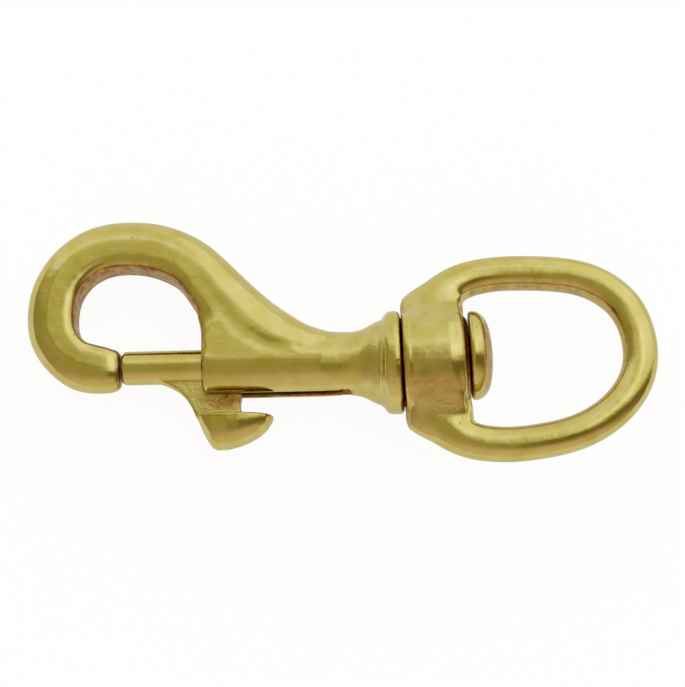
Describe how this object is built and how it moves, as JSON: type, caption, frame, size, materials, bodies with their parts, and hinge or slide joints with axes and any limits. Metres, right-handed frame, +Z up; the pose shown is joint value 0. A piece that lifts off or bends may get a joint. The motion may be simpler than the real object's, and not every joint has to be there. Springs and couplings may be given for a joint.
{
  "type": "bolt snap with swivel eye",
  "caption": "Cast brass bolt snap: an open hook shut by a sprung sliding bolt with a thumb lever, and a D-shaped eye that swivels behind the barrel.",
  "frame": {"origin": "on the surface it lies on, under the middle of its box", "axes": "+X along the snap from the hook to the eye, +Y across it towards the back of the hook, +Z up from the surface it lies on"},
  "size_m": [0.089, 0.036, 0.0152],
  "materials": {
    "polished_brass": "cast and tumble polished",
    "lever_brass": "cast, polished on the rod and the pad and left as cast on the neck",
    "spring_steel": "drawn wire"
  },
  "bodies": {
    "snap": {"snap_body": "polished_brass", "bolt_spring": "spring_steel"},
    "bolt": {"thumb_bolt": "lever_brass"},
    "eye": {"swivel_eye": "polished_brass"}
  },
  "joints": [
    {"name": "bolt_slide", "type": "slide", "parent": "snap", "child": "bolt", "axis": [0.9981, 0, 0.0619], "range_m": [0, 0.0115], "stiffness_N_per_m": 400, "springref_m": -0.006, "deforming": ["bolt_spring"]},
    {"name": "swivel_spin", "type": "hinge", "parent": "snap", "child": "eye", "pos_m": [0.01327, -0.00346, 0.00765], "axis": [0.9977, 0.0348, 0.0588], "continuous": true}
  ]
}
